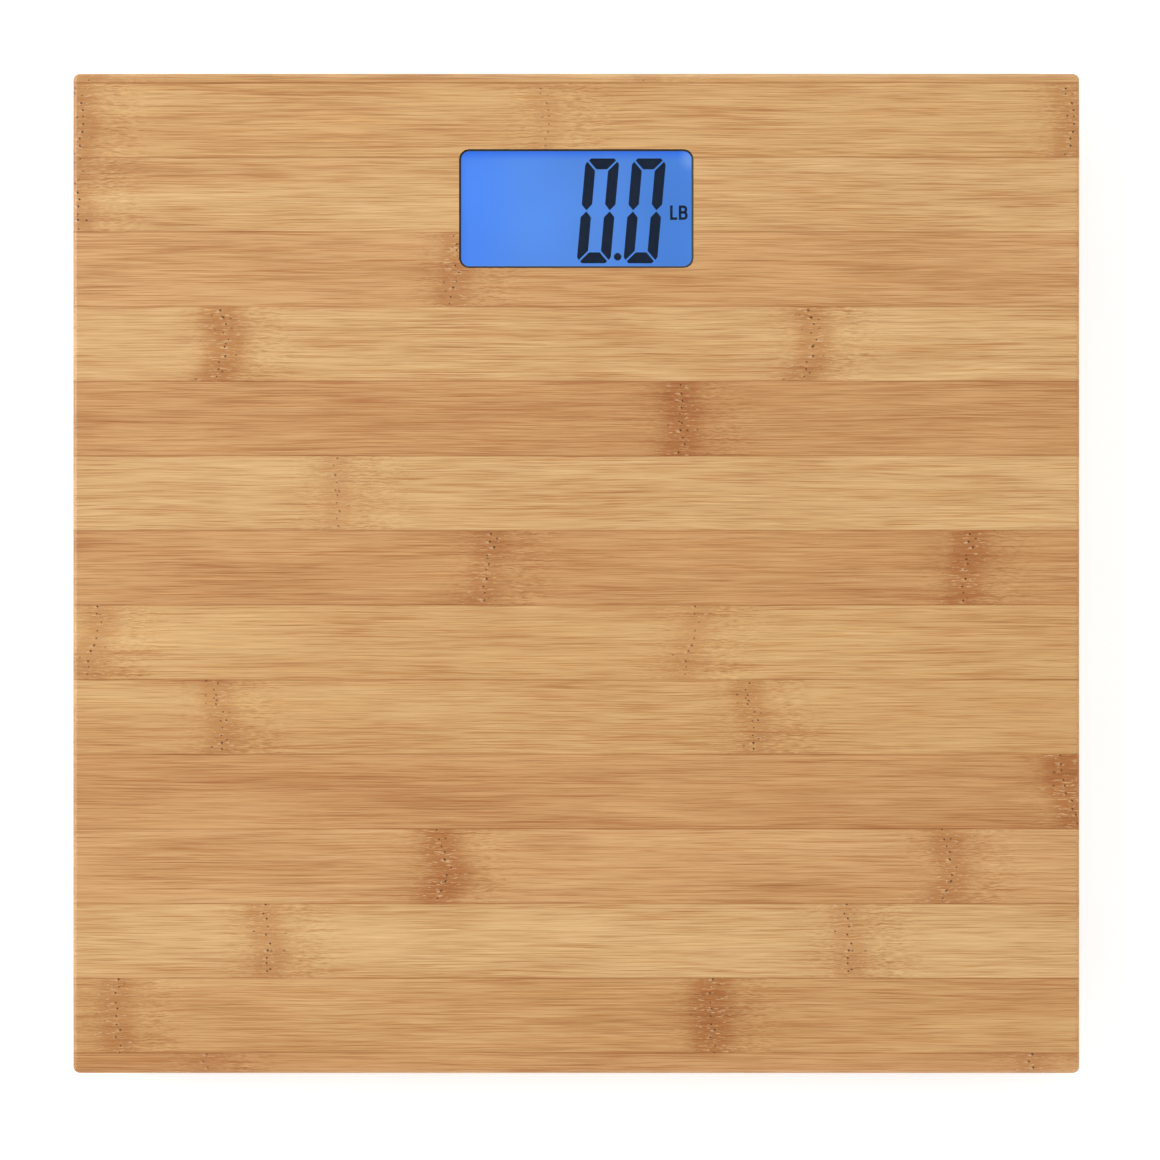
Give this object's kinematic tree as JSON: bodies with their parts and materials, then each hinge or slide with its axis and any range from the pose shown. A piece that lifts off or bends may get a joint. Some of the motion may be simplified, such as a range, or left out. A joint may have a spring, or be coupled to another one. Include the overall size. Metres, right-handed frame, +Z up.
{
  "type": "digital bathroom scale",
  "caption": "Square electronic floor scale: laminated bamboo platform with a flush blue-lit liquid-crystal display, standing on round rubber-tipped load-cell feet.",
  "frame": {"origin": "middle of the platform's footprint, at the height of the floor under the rubber pads", "axes": "+Z up; +Y from the user's heels towards the display end; +X to the user's right"},
  "size_m": [0.305, 0.303, 0.025],
  "materials": {
    "bamboo": "laminated bamboo strips, flat grain up, satin lacquer",
    "clear_acrylic": "clear moulded acrylic, polished",
    "foam": "black closed-cell foam",
    "lcd_glass": "liquid-crystal glass over a blue backlight",
    "light_guide": "edge-lit acrylic light guide",
    "lamp_bar": "white moulded lamp bar",
    "silicone": "banded silicone contact strip",
    "black_plastic": "moulded black ABS",
    "circuit_board": "green solder mask on glass-fibre board",
    "epoxy": "cured black epoxy drop",
    "housing_plastic": "dark grey ABS, fine spark texture",
    "battery_sleeve": "printed foil sleeve over a steel can",
    "plated_steel": "nickel-plated spring steel",
    "spring_steel": "ground spring-steel plate",
    "zinc_steel": "bright zinc plating",
    "button_plastic": "pale grey moulded ABS",
    "rubber": "moulded black rubber",
    "white_wire": "PVC-covered wires in a sleeve",
    "red_wire": "PVC-covered wire",
    "black_wire": "PVC-covered wire"
  },
  "bodies": {
    "root": {"bamboo_board": "bamboo", "window_lens": "clear_acrylic", "lens_gasket": "foam", "lcd_panel": "lcd_glass", "backlight_guide": "light_guide", "backlight_lamp_bar": "lamp_bar", "contact_strip": "silicone", "display_frame": "black_plastic", "main_circuit_board": "circuit_board", "controller_chip": "epoxy", "rear_cover": "housing_plastic", "battery_1": "battery_sleeve", "battery_2": "battery_sleeve", "battery_3": "battery_sleeve", "battery_spring_1": "plated_steel", "battery_spring_2": "plated_steel", "battery_spring_3": "plated_steel", "contact_negative": "plated_steel", "contact_positive": "plated_steel", "contact_link_left": "plated_steel", "contact_link_right": "plated_steel", "battery_lead_negative": "black_wire", "battery_lead_positive": "red_wire", "switch_body": "black_plastic", "switch_board": "circuit_board", "foot_housing_front_left": "housing_plastic", "load_cell_front_left": "spring_steel", "load_cell_lead_front_left": "white_wire", "foot_screw_front_left_1": "zinc_steel", "foot_screw_front_left_2": "zinc_steel", "foot_housing_front_right": "housing_plastic", "load_cell_front_right": "spring_steel", "load_cell_lead_front_right": "white_wire", "foot_screw_front_right_1": "zinc_steel", "foot_screw_front_right_2": "zinc_steel", "foot_housing_rear_left": "housing_plastic", "load_cell_rear_left": "spring_steel", "load_cell_lead_rear_left": "white_wire", "foot_screw_rear_left_1": "zinc_steel", "foot_screw_rear_left_2": "zinc_steel", "foot_housing_rear_right": "housing_plastic", "load_cell_rear_right": "spring_steel", "load_cell_lead_rear_right": "white_wire", "foot_screw_rear_right_1": "zinc_steel", "foot_screw_rear_right_2": "zinc_steel", "cover_screw_1": "zinc_steel", "cover_screw_2": "zinc_steel", "cover_screw_3": "zinc_steel", "cover_screw_4": "zinc_steel"},
    "foot_front_left": {"foot_cap_front_left": "housing_plastic", "foot_pad_front_left": "rubber"},
    "foot_front_right": {"foot_cap_front_right": "housing_plastic", "foot_pad_front_right": "rubber"},
    "foot_rear_left": {"foot_cap_rear_left": "housing_plastic", "foot_pad_rear_left": "rubber"},
    "foot_rear_right": {"foot_cap_rear_right": "housing_plastic", "foot_pad_rear_right": "rubber"},
    "battery_door": {"battery_door": "housing_plastic"},
    "unit_button": {"unit_button": "button_plastic", "switch_plunger": "black_plastic"}
  },
  "joints": [
    {"name": "foot_front_left_press", "type": "slide", "parent": "root", "child": "foot_front_left", "axis": [0, 0, 1], "range_m": [0, 0.0008], "stiffness_N_per_m": 4000, "springref_m": -0.001, "deforming": ["load_cell_front_left"]},
    {"name": "foot_front_right_press", "type": "slide", "parent": "root", "child": "foot_front_right", "axis": [0, 0, 1], "range_m": [0, 0.0008], "stiffness_N_per_m": 4000, "springref_m": -0.001, "deforming": ["load_cell_front_right"]},
    {"name": "foot_rear_left_press", "type": "slide", "parent": "root", "child": "foot_rear_left", "axis": [0, 0, 1], "range_m": [0, 0.0008], "stiffness_N_per_m": 4000, "springref_m": -0.001, "deforming": ["load_cell_rear_left"]},
    {"name": "foot_rear_right_press", "type": "slide", "parent": "root", "child": "foot_rear_right", "axis": [0, 0, 1], "range_m": [0, 0.0008], "stiffness_N_per_m": 4000, "springref_m": -0.001, "deforming": ["load_cell_rear_right"]},
    {"name": "battery_door_hinge", "type": "hinge", "parent": "root", "child": "battery_door", "pos_m": [0, 0.0775, 0.0081], "axis": [1, 0, 0], "range_deg": [0, 75]},
    {"name": "unit_button_press", "type": "slide", "parent": "root", "child": "unit_button", "axis": [0, 0, 1], "range_m": [0, 0.0006], "stiffness_N_per_m": 400, "springref_m": -0.0005}
  ]
}
